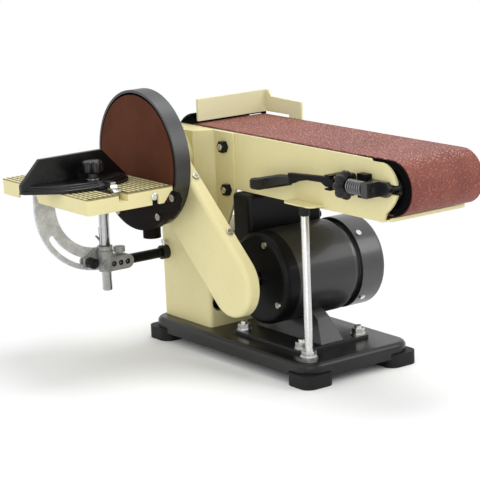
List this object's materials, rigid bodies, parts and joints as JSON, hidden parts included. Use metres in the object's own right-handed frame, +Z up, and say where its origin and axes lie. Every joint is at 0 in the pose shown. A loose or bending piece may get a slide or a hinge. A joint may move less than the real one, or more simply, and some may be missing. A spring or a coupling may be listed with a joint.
{
  "type": "belt and disc sander",
  "caption": "Bench sander with a horizontal tilting belt arm, a driven disc with a tilting table and mitre gauge, and a motor that drives both through a covered belt.",
  "frame": {"origin": "middle of the four bench-bolt holes under the feet, on the bench", "axes": "+X along the belt arm towards the idler roller, +Y from the disc towards the motor's fan end, +Z up"},
  "size_m": [0.493, 0.3614, 0.3115],
  "materials": {
    "cream_paint": "smooth cream gloss paint",
    "black_paint": "semi-gloss black paint",
    "black_plastic": "moulded matt black",
    "red_plastic": "moulded gloss red",
    "zinc_steel": "bright zinc plated",
    "ground_steel": "turned and ground",
    "chrome_steel": "chrome plated",
    "turned_aluminium": "turned",
    "grey_casting": "cast grey",
    "lamination_steel": "stacked laminations",
    "black_rubber": "moulded rubber",
    "belt_abrasive": "reddish brown grit on cloth",
    "disc_abrasive": "brown grit on paper"
  },
  "bodies": {
    "base": {"base_pan": "black_paint", "rubber_feet": "black_rubber", "support_rod": "zinc_steel", "base_fasteners": "zinc_steel", "housing_column": "cream_paint", "bar_lock_screw": "zinc_steel", "bearing_tube": "ground_steel", "spindle_bearings": "ground_steel", "pulley_cover": "cream_paint", "cover_screws": "zinc_steel", "drive_belt": "black_rubber", "disc_guard": "black_paint", "dust_chute": "black_plastic", "motor_body": "black_paint", "motor_end_bell": "black_paint", "motor_fan_cover": "black_paint", "motor_foot": "black_paint", "motor_screws": "zinc_steel", "motor_stator": "lamination_steel", "motor_bearings": "ground_steel", "motor_box": "black_plastic", "switch_bezel": "black_plastic", "cable_gland": "black_plastic", "arm_clamp_bolts": "black_paint"},
    "spindle": {"spindle_shaft": "ground_steel", "spindle_pulley": "turned_aluminium", "belt_drum": "turned_aluminium", "disc_plate": "turned_aluminium", "abrasive_disc": "disc_abrasive"},
    "rotor": {"motor_shaft": "ground_steel", "motor_pulley": "turned_aluminium", "motor_rotor": "lamination_steel", "motor_fan": "black_plastic"},
    "switch": {"switch_rocker": "red_plastic"},
    "arm": {"arm_frame": "cream_paint", "platen": "ground_steel", "drum_hood": "black_paint", "fence": "cream_paint", "fence_bolts": "zinc_steel", "sanding_belt": "belt_abrasive", "slide_guides": "black_paint", "lever_bracket": "black_paint"},
    "carriage": {"idler_carriage": "black_paint", "idler_axle": "ground_steel", "tracking_spring": "zinc_steel"},
    "tracking": {"tracking_knob": "black_plastic"},
    "idler": {"idler_roller": "turned_aluminium", "idler_bearings": "ground_steel"},
    "lever": {"tension_lever": "black_plastic"},
    "reach": {"support_bar": "black_paint", "clamp_block": "grey_casting", "clamp_screws": "zinc_steel"},
    "post": {"table_post": "ground_steel", "tilt_bracket": "black_paint"},
    "tilt_lock": {"tilt_knob": "black_plastic"},
    "table": {"table_top": "cream_paint", "table_quadrant": "grey_casting"},
    "mitre_carrier": {"mitre_bar": "chrome_steel"},
    "mitre_fence": {"mitre_head": "black_paint"},
    "mitre_lock": {"mitre_knob": "black_plastic"}
  },
  "joints": [
    {"name": "arm_tilt", "type": "hinge", "parent": "base", "child": "arm", "pos_m": [-0.103, -0.0345, 0.231], "axis": [0, -1, 0], "range_deg": [0, 90]},
    {"name": "spindle_spin", "type": "hinge", "parent": "base", "child": "spindle", "pos_m": [-0.103, -0.03, 0.231], "axis": [0, 1, 0], "continuous": true},
    {"name": "motor_spin", "type": "hinge", "parent": "base", "child": "rotor", "pos_m": [0.04, -0.03, 0.102], "axis": [0, 1, 0], "continuous": true},
    {"name": "tension_slide", "type": "slide", "parent": "arm", "child": "carriage", "axis": [1, 0, 0], "range_m": [-0.008, 0]},
    {"name": "idler_spin", "type": "hinge", "parent": "carriage", "child": "idler", "pos_m": [0.248, -0.03, 0.231], "axis": [0, 1, 0], "continuous": true},
    {"name": "tracking_turn", "type": "hinge", "parent": "carriage", "child": "tracking", "pos_m": [0.196, -0.052, 0.231], "axis": [1, 0, 0], "range_deg": [-180, 180]},
    {"name": "tension_lever_swing", "type": "hinge", "parent": "arm", "child": "lever", "pos_m": [0.173, -0.052, 0.231], "axis": [0, 0, 1], "range_deg": [0, 90]},
    {"name": "table_reach", "type": "slide", "parent": "base", "child": "reach", "axis": [0, -1, 0], "range_m": [0, 0.03]},
    {"name": "table_height", "type": "slide", "parent": "reach", "child": "post", "axis": [0, 0, 1], "range_m": [0, 0.02]},
    {"name": "tilt_lock_turn", "type": "hinge", "parent": "post", "child": "tilt_lock", "pos_m": [-0.136, -0.166, 0.10945], "axis": [1, 0, 0], "range_deg": [-90, 90]},
    {"name": "table_tilt", "type": "hinge", "parent": "post", "child": "table", "pos_m": [-0.136, -0.147, 0.182], "axis": [1, 0, 0], "range_deg": [0, 45]},
    {"name": "mitre_slide", "type": "slide", "parent": "table", "child": "mitre_carrier", "axis": [1, 0, 0], "range_m": [-0.04, 0.04]},
    {"name": "mitre_swivel", "type": "hinge", "parent": "mitre_carrier", "child": "mitre_fence", "pos_m": [-0.087, -0.1885, 0.211], "axis": [0, 0, 1], "range_deg": [-35, 35]},
    {"name": "mitre_lock_turn", "type": "hinge", "parent": "mitre_carrier", "child": "mitre_lock", "pos_m": [-0.087, -0.1885, 0.221], "axis": [0, 0, 1], "range_deg": [-90, 90]},
    {"name": "switch_tip", "type": "hinge", "parent": "base", "child": "switch", "pos_m": [-0.003, 0.058, 0.173], "axis": [1, 0, 0], "range_deg": [0, 13]}
  ],
  "couplings": [
    {"joint": "idler_spin", "follows": "spindle_spin", "ratio": 1},
    {"joint": "motor_spin", "follows": "spindle_spin", "ratio": 0.85714},
    {"joint": "tension_lever_swing", "follows": "tension_slide", "rad_per_m": -196.35}
  ]
}
